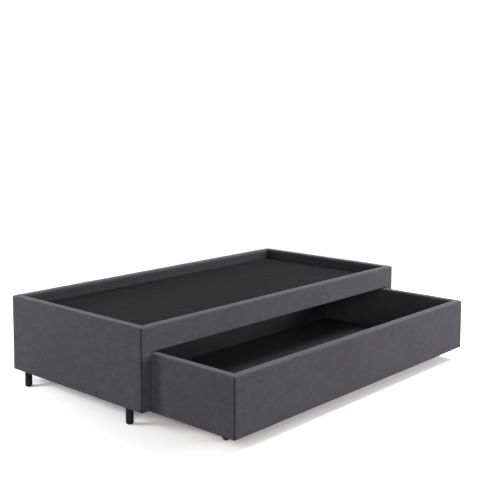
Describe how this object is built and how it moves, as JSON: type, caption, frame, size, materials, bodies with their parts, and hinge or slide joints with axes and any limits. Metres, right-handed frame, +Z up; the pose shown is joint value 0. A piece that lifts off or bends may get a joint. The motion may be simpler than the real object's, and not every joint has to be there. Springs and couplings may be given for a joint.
{
  "type": "trundle bed",
  "caption": "Upholstered single bed base with a recessed mattress deck, short round legs and a full-length trundle drawer that rolls out on casters.",
  "frame": {"origin": "the middle of the floor rectangle that the bed and its drawer, standing open at rest, cover together, at floor level", "axes": "+X along the bed's length, +Y from the drawer front towards the rear board, +Z up"},
  "size_m": [1.98, 1.472, 0.45],
  "materials": {
    "grey_upholstery": "dark grey short-pile suede upholstery over thin wadding",
    "black_nonwoven": "near-black spun-bonded cloth with an embossed point grid and faint wrinkles",
    "pine": "planed bare softwood",
    "panel_board": "bare fibreboard, smooth face",
    "leg_plastic": "black moulded plastic, fine satin",
    "wheel_nylon": "black nylon, worn tread",
    "caster_steel": "black painted pressed steel",
    "zinc_steel": "bright zinc-plated steel"
  },
  "bodies": {
    "bed_frame": {"deck_cloth": "black_nonwoven", "deck_joist_1": "pine", "deck_joist_2": "pine", "deck_joist_3": "pine", "deck_joist_4": "pine", "deck_joist_5": "pine", "foot_deck_panel": "panel_board", "foot_end_board": "pine", "foot_end_cover": "grey_upholstery", "foot_front_leg": "leg_plastic", "foot_front_stile": "pine", "foot_ledger": "pine", "foot_rear_leg": "leg_plastic", "frame_screws": "zinc_steel", "front_cover": "grey_upholstery", "front_top_rail": "pine", "head_deck_panel": "panel_board", "head_end_board": "pine", "head_end_cover": "grey_upholstery", "head_front_leg": "leg_plastic", "head_front_stile": "pine", "head_ledger": "pine", "head_rear_leg": "leg_plastic", "joist_screws": "zinc_steel", "leg_inserts": "zinc_steel", "leg_studs": "zinc_steel", "opening_corner_fillets": "pine", "rear_board": "pine", "rear_cover": "grey_upholstery"},
    "trundle": {"caster_axles": "zinc_steel", "caster_bearer_left": "pine", "caster_bearer_middle": "pine", "caster_bearer_right": "pine", "caster_bracket_back_left": "caster_steel", "caster_bracket_back_middle": "caster_steel", "caster_bracket_back_right": "caster_steel", "caster_bracket_front_left": "caster_steel", "caster_bracket_front_middle": "caster_steel", "caster_bracket_front_right": "caster_steel", "caster_screws": "zinc_steel", "drawer_back_board": "pine", "drawer_back_cover": "grey_upholstery", "drawer_bottom_cleats": "pine", "drawer_bottom_panel": "panel_board", "drawer_front_board": "pine", "drawer_front_cover": "grey_upholstery", "drawer_left_board": "pine", "drawer_left_cover": "grey_upholstery", "drawer_lining": "black_nonwoven", "drawer_right_board": "pine", "drawer_right_cover": "grey_upholstery", "drawer_screws": "zinc_steel"},
    "wheel_front_left": {"caster_wheel_front_left": "wheel_nylon"},
    "wheel_front_middle": {"caster_wheel_front_middle": "wheel_nylon"},
    "wheel_front_right": {"caster_wheel_front_right": "wheel_nylon"},
    "wheel_back_left": {"caster_wheel_back_left": "wheel_nylon"},
    "wheel_back_middle": {"caster_wheel_back_middle": "wheel_nylon"},
    "wheel_back_right": {"caster_wheel_back_right": "wheel_nylon"}
  },
  "joints": [
    {"name": "trundle_slide", "type": "slide", "parent": "bed_frame", "child": "trundle", "axis": [0, -1, 0], "range_m": [-0.48, 0.42]},
    {"name": "wheel_roll_front_left", "type": "hinge", "parent": "trundle", "child": "wheel_front_left", "pos_m": [-0.818, -0.586, 0.025], "axis": [1, 0, 0], "continuous": true},
    {"name": "wheel_roll_front_middle", "type": "hinge", "parent": "trundle", "child": "wheel_front_middle", "pos_m": [0, -0.586, 0.025], "axis": [1, 0, 0], "continuous": true},
    {"name": "wheel_roll_front_right", "type": "hinge", "parent": "trundle", "child": "wheel_front_right", "pos_m": [0.818, -0.586, 0.025], "axis": [1, 0, 0], "continuous": true},
    {"name": "wheel_roll_back_left", "type": "hinge", "parent": "trundle", "child": "wheel_back_left", "pos_m": [-0.818, 0.051, 0.025], "axis": [1, 0, 0], "continuous": true},
    {"name": "wheel_roll_back_middle", "type": "hinge", "parent": "trundle", "child": "wheel_back_middle", "pos_m": [0, 0.051, 0.025], "axis": [1, 0, 0], "continuous": true},
    {"name": "wheel_roll_back_right", "type": "hinge", "parent": "trundle", "child": "wheel_back_right", "pos_m": [0.818, 0.051, 0.025], "axis": [1, 0, 0], "continuous": true}
  ]
}
